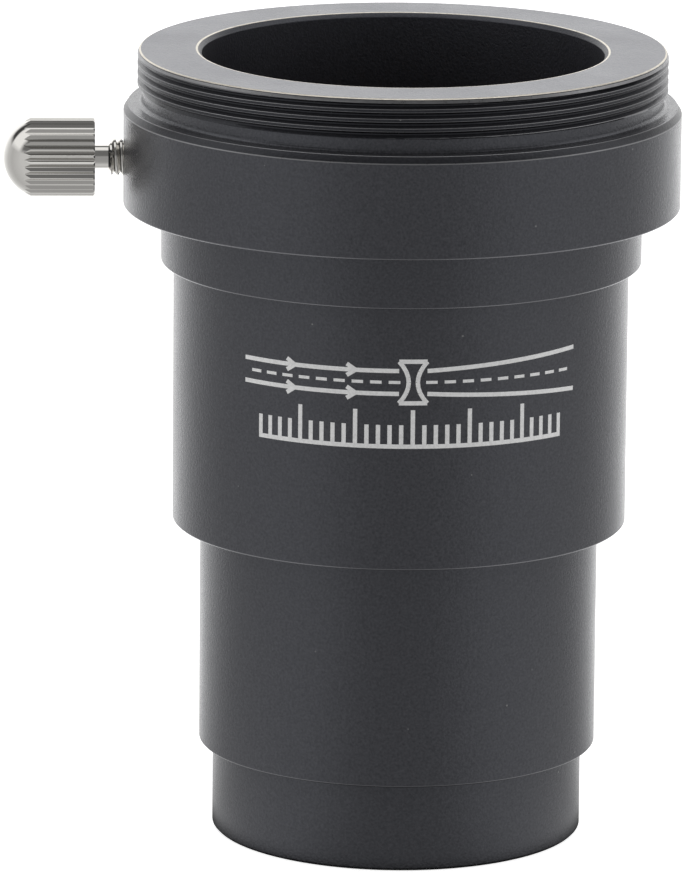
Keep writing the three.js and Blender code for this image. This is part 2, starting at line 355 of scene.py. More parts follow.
def anodised(name, dye, roughness, index=1.6, shine=0.5, lint=0.3):
    """Dyed anodising over blasted aluminium."""
    material, tree, output = new_material(name)
    place = add_node(tree, "ShaderNodeTexCoord").outputs["Object"]
    pits = add_node(
        tree,
        "ShaderNodeTexNoise",
        {"Scale": per_mm(BLAST_PIT), "Detail": 2, "Roughness": 0.6},
        {"Vector": place},
    )
    handling = add_node(
        tree,
        "ShaderNodeTexNoise",
        {"Scale": per_mm(HANDLED_PATCH), "Detail": 3, "Roughness": 0.6},
        {"Vector": place},
    )
    gloss = add_node(
        tree,
        "ShaderNodeMapRange",
        {
            "From Min": NOISE_LOW,
            "From Max": NOISE_HIGH,
            "To Min": roughness - GLOSS_SPREAD,
            "To Max": roughness + GLOSS_SPREAD,
        },
        {"Value": handling.outputs["Fac"]},
    )
    cells = add_node(
        tree,
        "ShaderNodeTexVoronoi",
        {"Scale": per_mm(LINT_SPACING), "Randomness": 1},
        {"Vector": place},
    )
    specks = add_node(
        tree,
        "ShaderNodeMapRange",
        {"From Min": LINT_CORE, "From Max": LINT_EDGE, "To Min": lint, "To Max": 0},
        {"Value": cells.outputs["Distance"]},
    )
    dyed = add_node(
        tree,
        "ShaderNodeMapRange",
        {
            "From Min": NOISE_LOW,
            "From Max": NOISE_HIGH,
            "To Min": 1 - DYE_SPREAD,
            "To Max": 1 + DYE_SPREAD,
            "clamp": False,
        },
        {"Value": pits.outputs["Fac"]},
    )
    skin = add_node(
        tree,
        "ShaderNodeVectorMath",
        {"operation": "SCALE", 0: linear(dye)[:3]},
        {"Scale": dyed.outputs["Result"]},
    )
    colour = add_node(
        tree,
        "ShaderNodeMix",
        {"data_type": "RGBA", 7: linear("#c8c8c4")},
        {0: specks.outputs["Result"], 6: skin.outputs["Vector"]},
    )
    bump = add_node(
        tree,
        "ShaderNodeBump",
        {"Strength": 1, "Distance": BLAST_DEPTH * MM},
        {"Height": pits.outputs["Fac"]},
    )
    shader = add_node(
        tree,
        "ShaderNodeBsdfPrincipled",
        {
            "Metallic": 0,
            "IOR": index,
            "Specular IOR Level": shine,
            "Specular Tint": linear("#eff3ff"),
        },
        {
            "Base Color": colour.outputs[2],
            "Roughness": gloss.outputs["Result"],
            "Normal": bump.outputs["Normal"],
        },
    )
    tree.links.new(shader.outputs[0], output.inputs["Surface"])
    return material


blasted_black = anodised("black_anodised_blasted", BLACK_DYE, 0.22)
socket_black = anodised("black_anodised_socket", "#2b2b30", 0.4, lint=0)
rim_black = anodised("black_anodised_rim", "#3a3a44", 0.3, index=1.75, lint=0)
# Darker dye and a weaker sheen: on the thread, partly its turned, unblasted finish and partly
# painted shade; on the collar's bevel, painted shade for its dark band.
thread_black_and_painted_shade = anodised("black_anodised_thread_and_painted_shade", "#242427", 0.3, shine=0.28)
print("blast pits", BLAST_PIT, "mm, lint cells", LINT_SPACING, "mm")

# %% [markdown]
# ## Rubbed edges, painted highlights, nickel and brass
# On sharp edges the dyed skin is thin and rubbed, so the pale metal shines through as a
# bright line: bare at the rim, which is handled most, and greyer on the thread's crests
# and the collar bevel's corners, where the line is also a painted highlight. The ring of
# bare metal round the bore is a painted highlight, and the lower chamfers are painted as
# grey metal, a painted highlight that draws a thinner, darker line.
# The screw is brass under bright nickel, which reflects its surroundings almost like a
# mirror, and the clamp ring is plain turned brass.


# %% Metals
TARNISH = (0.7, 1.4)


def metal(name, colour, roughness, scratch, depth):
    """Bare or plated metal with fine scratches of that spacing and depth in millimetres."""
    material, tree, output = new_material(name)
    place = add_node(tree, "ShaderNodeTexCoord").outputs["Object"]
    scratches = add_node(
        tree,
        "ShaderNodeTexNoise",
        {"Scale": per_mm(scratch), "Detail": 3, "Roughness": 0.65},
        {"Vector": place},
    )
    tarnish = add_node(
        tree,
        "ShaderNodeMapRange",
        {
            "From Min": NOISE_LOW,
            "From Max": NOISE_HIGH,
            "To Min": roughness * TARNISH[0],
            "To Max": roughness * TARNISH[1],
        },
        {"Value": scratches.outputs["Fac"]},
    )
    bump = add_node(
        tree,
        "ShaderNodeBump",
        {"Strength": 1, "Distance": depth * MM},
        {"Height": scratches.outputs["Fac"]},
    )
    shader = add_node(
        tree,
        "ShaderNodeBsdfPrincipled",
        {"Base Color": linear(colour), "Metallic": 1},
        {"Roughness": tarnish.outputs["Result"], "Normal": bump.outputs["Normal"]},
    )
    tree.links.new(shader.outputs[0], output.inputs["Surface"])
    return material


# Bare metal: rubbed wear on the rim's corner, and a painted highlight ring round the bore.
rubbed_edge_and_painted_highlight = metal("rubbed_aluminium_edge_and_painted_highlight", "#dcd6ca", 0.4, 0.3, 0.002)
# Grey metal on the thread's crests and the collar bevel's corners: worn edges, and painted
# highlight lines as well.
worn_edge_and_painted_highlight = metal("worn_anodised_edge_and_painted_highlight", "#8a8a8c", 0.35, 0.3, 0.002)
# Grey metal on the lower chamfers: a painted highlight line.
painted_highlight_edge = metal("grey_metal_painted_highlight", "#7c7c80", 0.2, 0.3, 0.002)
nickel = metal("bright_nickel_plate", "#d2d0cc", 0.08, 0.5, 0.002)
brass = metal("turned_brass", "#c39a46", 0.3, 0.4, 0.004)
print("metals:", rubbed_edge_and_painted_highlight.name, worn_edge_and_painted_highlight.name, painted_highlight_edge.name, nickel.name, brass.name)

# %% [markdown]
# ## Matte black, glass and ink
# Rings inside an optical tube are painted dead black to kill stray light. The lenses are
# crown and flint glass with a quarter-wave coating about 110 nm thick, which tints their
# reflections violet, and their ground rims are inked black. The marking is white epoxy
# ink, slightly uneven as it comes off the pad.


# %% Matte black, glass and ink
THINNEST_COAT, THICKEST_COAT = 0.88, 1.08
HAZE_PATCH = 4
HAZE_ROUGHNESS = 0.03
FILM_NANOMETRES = 110
FILM_INDEX = 1.38


def painted(name, colour, roughness, grain, depth):
    """Paint or ink with a fine uneven surface."""
    material, tree, output = new_material(name)
    place = add_node(tree, "ShaderNodeTexCoord").outputs["Object"]
    unevenness = add_node(
        tree,
        "ShaderNodeTexNoise",
        {"Scale": per_mm(grain), "Detail": 3, "Roughness": 0.6},
        {"Vector": place},
    )
    cover = add_node(
        tree,
        "ShaderNodeMapRange",
        {
            "From Min": NOISE_LOW,
            "From Max": NOISE_HIGH,
            "To Min": THINNEST_COAT,
            "To Max": THICKEST_COAT,
        },
        {"Value": unevenness.outputs["Fac"]},
    )
    coat = add_node(
        tree,
        "ShaderNodeVectorMath",
        {"operation": "SCALE", 0: linear(colour)[:3]},
        {"Scale": cover.outputs["Result"]},
    )
    bump = add_node(
        tree,
        "ShaderNodeBump",
        {"Strength": 1, "Distance": depth * MM},
        {"Height": unevenness.outputs["Fac"]},
    )
    shader = add_node(
        tree,
        "ShaderNodeBsdfPrincipled",
        {"Metallic": 0, "Roughness": roughness, "IOR": 1.5},
        {"Base Color": coat.outputs["Vector"], "Normal": bump.outputs["Normal"]},
    )
    tree.links.new(shader.outputs[0], output.inputs["Surface"])
    return material


def coated_glass(name, tint, index):
    """Lens glass under a thin anti-reflection film."""
    material, tree, output = new_material(name)
    place = add_node(tree, "ShaderNodeTexCoord").outputs["Object"]
    haze = add_node(
        tree,
        "ShaderNodeTexNoise",
        {"Scale": per_mm(HAZE_PATCH), "Detail": 4, "Roughness": 0.7},
        {"Vector": place},
    )
    polish = add_node(
        tree,
        "ShaderNodeMapRange",
        {"From Min": 0.4, "From Max": 0.8, "To Min": 0.0, "To Max": HAZE_ROUGHNESS},
        {"Value": haze.outputs["Fac"]},
    )
    shader = add_node(
        tree,
        "ShaderNodeBsdfPrincipled",
        {
            "Base Color": linear(tint),
            "Metallic": 0,
            "IOR": index,
            "Transmission Weight": 1,
            "Thin Film Thickness": FILM_NANOMETRES,
            "Thin Film IOR": FILM_INDEX,
        },
        {"Roughness": polish.outputs["Result"]},
    )
    tree.links.new(shader.outputs[0], output.inputs["Surface"])
    return material


stop_black = painted("matte_black_stop_paint", "#141416", 0.85, 0.15, 0.02)
rim_ink = painted("blackened_lens_rim", "#101011", 0.7, 0.2, 0.01)
marking_ink = painted("white_epoxy_ink", "#ffffff", 0.45, 0.25, 0.003)
crown_glass = coated_glass("coated_crown_glass", "#f4fbf8", 1.52)
flint_glass = coated_glass("coated_flint_glass", "#f6fafc", 1.62)
print(len(bpy.data.materials), "materials in the file")

# %% [markdown]
# ## The lathe
# A lathe piece is an outline spun round an axis. The outline starts as one vertex, which
# is extruded from corner to corner. Its corners are then bevelled a few hundredths of a
# millimetre, because no real edge is perfectly sharp and that tiny round is what catches
# the light. Spinning it a full turn and merging the seam closes the body.

# %% Outline and spin
STEPS = 192
EDGE_ROUND = 0.05
MERGE = 0.002 * MM


def start_at(name, radius, height):
    """A new mesh with one vertex at that radius and height, left in edit mode."""
    bpy.ops.object.select_all(action="DESELECT")
    bpy.ops.mesh.primitive_plane_add(size=MM, location=(AXIS + radius * MM, 0, height * MM))
    piece = bpy.context.object
    piece.name = name
    piece.data.name = name
    bpy.ops.object.mode_set(mode="EDIT")
    bpy.ops.mesh.select_all(action="SELECT")
    bpy.ops.mesh.merge(type="CENTER")
    return piece


def extrude_along(outline):
    """Extrudes the selected vertex from the outline's first corner through the others."""
    for (radius, height), (next_radius, next_height) in zip(outline, outline[1:]):
        step = ((next_radius - radius) * MM, 0, (next_height - height) * MM)
        bpy.ops.mesh.extrude_region_move(TRANSFORM_OT_translate={"value": step})


def close_surface():
    """Merges doubles and turns all faces outwards, in edit mode, then leaves it."""
    bpy.ops.mesh.select_all(action="SELECT")
    bpy.ops.mesh.remove_doubles(threshold=MERGE)
    bpy.ops.mesh.select_all(action="SELECT")
    bpy.ops.mesh.normals_make_consistent(inside=False)
    bpy.ops.object.mode_set(mode="OBJECT")


def place_in_mesh(piece):
    """Moves the object's place, turn and scale into its mesh."""
    bpy.ops.object.select_all(action="DESELECT")
    piece.select_set(True)
    bpy.context.view_layer.objects.active = piece
    bpy.ops.object.transform_apply(location=True, rotation=True, scale=True)


def turned(name, outline, rounding=EDGE_ROUND, closed=True, steps=STEPS):
    """Spins an outline of (radius, height) corners in millimetres about the optical axis."""
    corners = outline + outline[:1] if closed else outline
    piece = start_at(name, *corners[0])
    extrude_along(corners)
    bpy.ops.mesh.select_all(action="SELECT")
    bpy.ops.mesh.remove_doubles(threshold=MERGE)
    if rounding:
        bpy.ops.mesh.select_all(action="SELECT")
        bpy.ops.mesh.bevel(offset=rounding * MM, segments=3, affect="VERTICES")
    bpy.ops.mesh.select_all(action="SELECT")
    bpy.ops.mesh.spin(steps=steps, angle=2 * math.pi, center=(AXIS, 0, 0), axis=(0, 0, 1))
    close_surface()
    place_in_mesh(piece)
    return piece


print(STEPS, "steps to a turn, edges rounded", EDGE_ROUND, "mm")

# %% [markdown]
# ## Screw threads
# A thread is one tooth's outline carried round the axis while it climbs one pitch each
# turn, which is just what the Screw modifier does. The strip is cut level at both ends
# by moving every vertex past an end onto it, while the tooth fades into the plain
# cylinder there, as a real thread runs out. Its end rings then merge with a turned body.


# %% Thread strip
CREST_LAND = 0.17
CREST_ROUND = 0.05


def fade(height, start, end):
    """0 before start, 1 after end, and smooth between them."""
    share = min(max((height - start) / (end - start), 0), 1)
    return share * share * (3 - 2 * share)


def thread_strip(name, crest, root, pitch, crest_height, low, high, run_out, full_top=False):
    """A right-handed thread from low to high, whose crest passes +X at crest_height."""
    depth = abs(crest - root)
    flank_angle = math.radians(60)
    land = CREST_LAND * pitch
    # Just under half a pitch, so that neighbouring feet stay apart.
    foot = min(land + depth / math.tan(flank_angle), 0.49 * pitch)
    tooth = [(0.5 * pitch, 0), (foot, 0)]
    for turn in (1, 2 / 3, 1 / 3, 0):
        angle = flank_angle * turn
        across = land - CREST_ROUND * (math.tan(flank_angle / 2) - math.sin(angle))
        tooth.append((across, 1 - CREST_ROUND * (1 - math.cos(angle)) / depth))
    rows = [(-across, share) for across, share in tooth] + [(0, 1)] + tooth[::-1]
    turns_below = math.ceil((crest_height + pitch / 2 - low) / pitch)
    first = crest_height - turns_below * pitch
    turns = math.ceil((high - first) / pitch + 0.5)
    outline = [(root + (crest - root) * share, first + across) for across, share in rows]

    strip = start_at(name, 0, outline[0][1])
    bpy.ops.transform.translate(value=(outline[0][0] * MM, 0, 0))
    extrude_along(outline)
    bpy.ops.object.mode_set(mode="OBJECT")
    screw = strip.modifiers.new("climb", "SCREW")
    screw.axis = "Z"
    screw.angle = 2 * math.pi
    screw.screw_offset = pitch * MM
    screw.iterations = turns
    screw.steps = STEPS
    screw.render_steps = STEPS
    screw.use_merge_vertices = False
    bpy.ops.object.modifier_apply(modifier="climb")
    place_in_mesh(strip)

    for vertex in strip.data.vertices:
        x, y, z = vertex.co.x - AXIS, vertex.co.y, vertex.co.z / MM
        radius = math.hypot(x, y) / MM
        share = (radius - root) / (crest - root)
        grown = share * fade(z, low, low + run_out)
        filled = fade(z, high - run_out, high)
        share = grown + (1 - grown) * filled if full_top else grown * (1 - filled)
        stretch = (root + (crest - root) * share) / radius
        vertex.co.x = AXIS + x * stretch
        vertex.co.y = y * stretch
        vertex.co.z = min(max(z, low), high) * MM
    return strip


def weld(body, *others):
    """Joins open shells whose end rings match into one closed body."""
    bpy.ops.object.select_all(action="DESELECT")
    for other in others:
        other.select_set(True)
    body.select_set(True)
    bpy.context.view_layer.objects.active = body
    bpy.ops.object.join()
    bpy.ops.object.mode_set(mode="EDIT")
    close_surface()
    return body


print("threads climb", STEPS, "steps a turn")

# %% [markdown]
# ## Cutting, finishing and handing over
# A cutter is a spare body that a Boolean modifier takes away, as a drill or a saw does.
# Every finished piece gets smooth shading with sharp corners kept, and weighted normals,
# so that the small rounds don't bend the light on the wide faces beside them. Then it is
# given its finish, its CAD body to ride on, and the CAD node that it stands for.


# %% Cut, finish and hand over
def boolean(piece, other, operation):
    """Cuts, joins or intersects piece with other, and removes other."""
    bpy.ops.object.select_all(action="DESELECT")
    piece.select_set(True)
    bpy.context.view_layer.objects.active = piece
    cut = piece.modifiers.new("cut", "BOOLEAN")
    cut.operation = operation
    cut.solver = "EXACT"
    cut.object = other
    bpy.ops.object.modifier_apply(modifier="cut")
    bpy.data.objects.remove(other, do_unlink=True)
    return piece


def is_closed(mesh):
    """True if every edge joins exactly two faces."""
    uses = {}
    for face in mesh.polygons:
        for edge in face.edge_keys:
            uses[edge] = uses.get(edge, 0) + 1
    return all(count == 2 for count in uses.values()) and len(uses) == len(mesh.edges)


def finish_piece(piece, material, body, node, smooth_angle=34):
    """Smooths a piece, gives it its finish and puts it in a CAD node's place."""
    place_in_mesh(piece)
    bpy.ops.object.shade_smooth_by_angle(angle=math.radians(smooth_angle))
    piece.modifiers.new("weigh", "WEIGHTED_NORMAL").keep_sharp = True
    bpy.ops.object.modifier_apply(modifier="weigh")
    piece.data.materials.clear()
    piece.data.materials.append(material)
    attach(piece, body)
    if node:
        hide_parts(node)
    faces = len(piece.data.polygons)
    print(piece.name, "has", faces, "faces, closed:", is_closed(piece.data))


def paint_faces(piece, material, chosen):
    """Gives faces a second finish, where chosen(radius, height, normal) is true."""
    piece.data.materials.append(material)
    last = len(piece.data.materials) - 1
    for face in piece.data.polygons:
        spot = face.center
        radius = math.hypot(spot.x - AXIS, spot.y) / MM
        if chosen(radius, spot.z / MM, face.normal):
            face.material_index = last


# %% [markdown]
# ## Eyepiece holder
# The widest piece: a collar with the clamp ring's groove inside, a shoulder below it,
# and above it a short neck and the M42 x 0.75 thread that a camera ring screws onto. It
# is turned from one bar. The outline runs from the thread's foot down the outside, up
# through the bore and over the rim to the thread's last crest, where the strip joins.

# %% Eyepiece holder
THREAD_BOTTOM = 59.9
THREAD_TOP = 62.75
THREAD_CREST = 20.95
THREAD_ROOT = 20.6
CAMERA_PITCH = 0.75
CREST_AT_X = 60.1
RIM_EDGE = 20.7
RIM_LINE = 0.09
RIM_SLOPE = 1.5
# Width of the painted highlight ring round the bore, in mm.
BORE_HIGHLIGHT = 0.15
COLLAR_TOP = 58.8
COLLAR_BOTTOM = 50.7
COLLAR_BEVEL = (0.36, 0.55)
NECK_FILLET = 0.26
FILLET_HOLLOW = 0.3  # how far the fillet's middle stands off, as a share of its size
SHOULDER_RADIUS = 19.05
SOCKET_RADIUS = 15.88
SOCKET_BEVEL = 0.34
CHAMFER = 0.12
FACE_GAP = 0.05
SPIGOT_BORE = 17.35
SPIGOT_TOP = TUBE_TOP + FACE_GAP
GROOVE_RADIUS = 17.6
GROOVE_HALF = 2.2

screw_low, screw_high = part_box("thumb_screw")
SCREW_HEIGHT = (screw_low.z + screw_high.z) / 2 / MM

holder = turned(
    "holder_body",
    [
        (THREAD_ROOT, THREAD_BOTTOM),
        (THREAD_ROOT, COLLAR_TOP + NECK_FILLET),
        (THREAD_ROOT + NECK_FILLET * FILLET_HOLLOW, COLLAR_TOP + NECK_FILLET * FILLET_HOLLOW),
        (THREAD_ROOT + NECK_FILLET, COLLAR_TOP),
        (COLLAR_RADIUS - COLLAR_BEVEL[0], COLLAR_TOP),
        (COLLAR_RADIUS, COLLAR_TOP - COLLAR_BEVEL[1]),
        (COLLAR_RADIUS, COLLAR_BOTTOM + CHAMFER),
        (COLLAR_RADIUS - CHAMFER, COLLAR_BOTTOM),
        (SHOULDER_RADIUS, COLLAR_BOTTOM),
        (SHOULDER_RADIUS, SHOULDER_BOTTOM + CHAMFER),
        (SHOULDER_RADIUS - CHAMFER, SHOULDER_BOTTOM),
        (SPIGOT_BORE, SHOULDER_BOTTOM),
        (SPIGOT_BORE, SPIGOT_TOP),
        (SOCKET_RADIUS, SPIGOT_TOP),
        (SOCKET_RADIUS, SCREW_HEIGHT - GROOVE_HALF),
        (GROOVE_RADIUS, SCREW_HEIGHT - GROOVE_HALF),
        (GROOVE_RADIUS, SCREW_HEIGHT + GROOVE_HALF),
        (SOCKET_RADIUS, SCREW_HEIGHT + GROOVE_HALF),
        (SOCKET_RADIUS, TOP - SOCKET_BEVEL),
        (SOCKET_RADIUS + SOCKET_BEVEL, TOP),
        (SOCKET_RADIUS + SOCKET_BEVEL + BORE_HIGHLIGHT, TOP),
        (RIM_EDGE, TOP),
        (RIM_EDGE + RIM_LINE * RIM_SLOPE, TOP - RIM_LINE),
        (THREAD_CREST, THREAD_TOP),
    ],
    closed=False,
)
camera_thread = thread_strip(
    "camera_thread",
    THREAD_CREST,
    THREAD_ROOT,
    CAMERA_PITCH,
    CREST_AT_X,
    THREAD_BOTTOM,
    THREAD_TOP,
    run_out=0.16,
    full_top=True,
)
weld(holder, camera_thread)
print("holder", len(holder.data.vertices), "vertices, closed:", is_closed(holder.data))

# %% [markdown]
# The thumb screw goes through a tapped hole in the collar's side. The drill is a turned
# plug laid along X, with a small countersink where it enters the wall.

# %% Tapped hole in the collar
HOLE_RADIUS = 1.53
COUNTERSINK = 0.12
OVERRUN = 1


def lay_along_x(piece, x):
    """Turns an upright piece about Y, so that its height runs along +X from x, in mm."""
    piece.data.transform(Matrix.Translation((-AXIS, 0, 0)))
    piece.rotation_euler = (0, math.pi / 2, 0)
    piece.location = (AXIS + x * MM, 0, SCREW_HEIGHT * MM)
    place_in_mesh(piece)
    return piece


wall = COLLAR_RADIUS - SOCKET_RADIUS
drill = turned(
    "drill",
    [
        (0, -OVERRUN),
        (HOLE_RADIUS + OVERRUN, -OVERRUN),
        (HOLE_RADIUS + COUNTERSINK, 0),
        (HOLE_RADIUS, COUNTERSINK),
        (HOLE_RADIUS, wall + 2 * OVERRUN),
        (0, wall + 2 * OVERRUN),
    ],
    rounding=0,
    closed=False,
    steps=48,
)
lay_along_x(drill, -COLLAR_RADIUS)
boolean(holder, drill, "DIFFERENCE")
finish_piece(holder, blasted_black, "tube", "eyepiece_holder")


# %% [markdown]
# Some faces get another finish: a dull one in the socket, a smoother one on the rim, and a
# darker one on the thread, partly its turned finish and partly painted shade, which the
# collar's bevel also gets as painted shade. Along the edges goes bare and grey metal, partly
# rubbed wear and partly painted highlight. They are picked by their place and by how far
# they look up or down, which is the Z part of their normal.

# %% Second finishes on the holder
EDGE_REACH = 0.05  # how far the worn edge and its painted highlight reach on each side of a sharp corner, in mm
CREST_BAND = 0.06
# Radial reach of the bevel corners' worn, painted-highlight line, in mm.
BEVEL_WEAR_AND_HIGHLIGHT = 0.45
SLIGHT, LEVEL = 0.1, 0.98
CHAMFER_LOOK = (-0.95, -0.3)


def on_rim(radius, height, normal):
    """On the flat top."""
    return height > TOP - 0.02 and normal.z > 0.9


def inside_socket(radius, height, normal):
    """On the bore and its groove, but not on the faces at either end."""
    deep = SHOULDER_BOTTOM + 0.1 < height < TOP - 0.01
    return deep and radius < GROOVE_RADIUS + EDGE_REACH


def on_thread(radius, height, normal):
    """On the thread, from its foot to the rim's edge."""
    return radius > THREAD_ROOT - 0.01 and THREAD_BOTTOM < height < TOP - RIM_LINE


def on_collar_bevel(radius, height, normal):
    """On the collar's sloping upper edge."""
    return COLLAR_TOP - COLLAR_BEVEL[1] < height < COLLAR_TOP and SLIGHT < normal.z < LEVEL


def on_rubbed_rim_and_painted_bore_highlight(radius, height, normal):
    """On the rim's rubbed outer corner, or on the painted highlight line round the bore."""
    at_rim = TOP - RIM_LINE < height < TOP - 0.002 and radius > THREAD_ROOT
    bore_edge = SOCKET_RADIUS + SOCKET_BEVEL
    at_bore = bore_edge - 0.03 < radius < bore_edge + BORE_HIGHLIGHT - 0.02
    return at_rim or at_bore and height > TOP - 0.06


def on_worn_edge_and_painted_highlight(radius, height, normal):
    """On the thread's crests, or on either corner of the collar's bevel."""
    on_crest = radius > THREAD_CREST - CREST_BAND and SLIGHT < abs(normal.z) < 0.8
    from_corner = min(abs(height - COLLAR_TOP), abs(height - COLLAR_TOP + COLLAR_BEVEL[1]))
    on_corner = from_corner < EDGE_REACH and radius > COLLAR_RADIUS - BEVEL_WEAR_AND_HIGHLIGHT
    in_thread = THREAD_BOTTOM < height < TOP - RIM_LINE
    return on_crest and in_thread or on_corner and 0.02 < normal.z < LEVEL


def on_chamfer(radius, height, normal):
    """On a lower chamfer, which looks down and outwards."""
    return CHAMFER_LOOK[0] < normal.z < CHAMFER_LOOK[1]


def on_lower_edge(radius, height, normal):
    """On the collar's or the shoulder's lower chamfer."""
    return radius > SHOULDER_RADIUS - CHAMFER and on_chamfer(radius, height, normal)


paint_faces(holder, socket_black, inside_socket)
paint_faces(holder, rim_black, on_rim)
# The thread: a darker turned finish, partly painted shade.
paint_faces(holder, thread_black_and_painted_shade, on_thread)
# The collar's bevel gets the darker thread finish as painted shade for its dark band.
paint_faces(holder, thread_black_and_painted_shade, on_collar_bevel)
# Rubbed bare metal on the rim's corner, and a painted highlight ring round the bore.
paint_faces(holder, rubbed_edge_and_painted_highlight, on_rubbed_rim_and_painted_bore_highlight)
# Grey metal lines on the thread's crests and the bevel's corners: wear, and painted highlights
# too.
paint_faces(holder, worn_edge_and_painted_highlight, on_worn_edge_and_painted_highlight)
# Grey metal on the collar's and the shoulder's lower chamfers: a painted highlight line.
paint_faces(holder, painted_highlight_edge, on_lower_edge)
print("holder finishes:", [material.name for material in holder.data.materials])

# %% [markdown]
# ## Tube and nosepiece
# Two plain sleeves. The tube's upper end is a spigot inside the holder, and its step
# shows as the shoulder's lower edge. The nosepiece is the part that goes into a
# telescope's focuser, and it carries a pocket for the light baffle. Both are outlines
# with a small chamfer at the lower outside edge.

# %% Tube
TUBE_BORE = 16.0
TUBE_SPIGOT = 17.2
STEP_HEIGHT = SHOULDER_BOTTOM - FACE_GAP

tube = turned(
    "tube_body",
    [
        (TUBE_BORE, TUBE_BOTTOM),
        (TUBE_RADIUS - CHAMFER, TUBE_BOTTOM),
        (TUBE_RADIUS, TUBE_BOTTOM + CHAMFER),
        (TUBE_RADIUS, STEP_HEIGHT),
        (TUBE_SPIGOT, STEP_HEIGHT),
        (TUBE_SPIGOT, TUBE_TOP),
        (TUBE_BORE, TUBE_TOP),
    ],
)
finish_piece(tube, blasted_black, "tube", "main_tube")
# Grey metal on the lower chamfer: a painted highlight line.
paint_faces(tube, painted_highlight_edge, on_chamfer)

# %% Nosepiece
NOSE_BORE = 13.6
CELL_BORE = 14.35
CELL_BORE_TOP = 12.35
BAFFLE_POCKET = 14.6
BAFFLE_POCKET_DEPTH = 2.6
BAFFLE_POCKET_FLOOR = NOSE_TOP - BAFFLE_POCKET_DEPTH

nosepiece = turned(
    "nosepiece_body",
    [
        (CELL_BORE, NOSE_BOTTOM),
        (NOSE_RADIUS - CHAMFER, NOSE_BOTTOM),
        (NOSE_RADIUS, NOSE_BOTTOM + CHAMFER),
        (NOSE_RADIUS, NOSE_TOP),
        (BAFFLE_POCKET, NOSE_TOP),
        (BAFFLE_POCKET, BAFFLE_POCKET_FLOOR),
        (NOSE_BORE, BAFFLE_POCKET_FLOOR),
        (NOSE_BORE, CELL_BORE_TOP),
        (CELL_BORE, CELL_BORE_TOP),
    ],
)
finish_piece(nosepiece, blasted_black, "tube", "nosepiece_barrel")
paint_faces(
    nosepiece,
    socket_black,
    lambda radius, height, normal: radius < BAFFLE_POCKET + EDGE_REACH,
)
# Grey metal on the lower chamfer: a painted highlight line.
paint_faces(nosepiece, painted_highlight_edge, on_chamfer)

# %% [markdown]
# ## Light baffle
# A thin washer with a knife edge, so that no light glances off the side of its hole.

# %% Light baffle
baffle_radius, baffle_bottom, baffle_top = turned_size("light_baffle")
BAFFLE_HOLE = 11.0

baffle = turned(
    "baffle_washer",
    [
        (BAFFLE_HOLE, baffle_bottom),
        (baffle_radius, baffle_bottom),
        (baffle_radius, baffle_top),
        (BAFFLE_HOLE + (baffle_top - baffle_bottom) / 2, baffle_top),
    ],
    rounding=0.03,
)
finish_piece(baffle, stop_black, "tube", "light_baffle")

# %% [markdown]
# ## Clamp ring
# A split ring of brass lies in the socket's groove. The screw presses it against the
# eyepiece's barrel, which spares the barrel a dent. It is a turned ring that a saw cuts
# through on the side away from the screw.

# %% Clamp ring
ring_radius, ring_bottom, ring_top = turned_size("clamp_ring")
RING_BORE = 15.95
RING_GAP = 3.0
SAW_LENGTH = 4

ring = turned(
    "split_clamp_ring",
    [
        (RING_BORE, ring_bottom),
        (ring_radius, ring_bottom),
        (ring_radius, ring_top),
        (RING_BORE, ring_top),
    ],
    rounding=0.12,
)
bpy.ops.object.select_all(action="DESELECT")
bpy.ops.mesh.primitive_cube_add(size=1, location=(AXIS + RING_BORE * MM, 0, SCREW_HEIGHT * MM))
saw = bpy.context.object
saw.scale = (SAW_LENGTH * MM, RING_GAP * MM, (ring_top - ring_bottom + 1) * MM)
place_in_mesh(saw)
boolean(ring, saw, "DIFFERENCE")
finish_piece(ring, brass, "clamp_ring", "clamp_ring")

# %% [markdown]
# ## Thumb screw
# An M3 x 0.5 screw with a straight-knurled head, turned from brass and nickel plated.
# Its head is a domed blank. The knurl is a toothed bar, and where the two intersect the
# grooves run out on the dome in a zigzag, just as they do under a knurling wheel.

# %% Knurled head
HEAD_RADIUS = (screw_high.z - screw_low.z) / 2 / MM
NECK_SHOWING = 2.23
HEAD_BACK = -(COLLAR_RADIUS + NECK_SHOWING)
HEAD_LENGTH = HEAD_BACK - (screw_low.x - AXIS) / MM
DOME_HEIGHT = 2.2
DOME_STEPS = 14
TEETH = 32
TOOTH_DEPTH = 0.2
TOOTH_CORNERS = ((-0.7, 0), (0.7, 0), (4.9, TOOTH_DEPTH), (6.35, TOOTH_DEPTH))
HEAD_CHAMFER = 0.12
KNURL_MARGIN = 0.5


def cap_height(curve, radius):
    """How far a sphere of radius curve falls away at that distance from its axis."""
    return curve - math.sqrt(max(curve * curve - radius * radius, 0))


dome_curve = (HEAD_RADIUS**2 + DOME_HEIGHT**2) / (2 * DOME_HEIGHT)
dome_edge = math.asin(HEAD_RADIUS / dome_curve)
dome = []
for step in range(DOME_STEPS + 1):
    angle = dome_edge * step / DOME_STEPS
    radius = dome_curve * math.sin(angle)
    dome.append((radius, -HEAD_LENGTH + cap_height(dome_curve, radius)))
blank = turned(
    "thumb_screw_body",
    dome + [(HEAD_RADIUS, -HEAD_CHAMFER), (HEAD_RADIUS - HEAD_CHAMFER, 0), (0, 0)],
    rounding=0,
    closed=False,
)

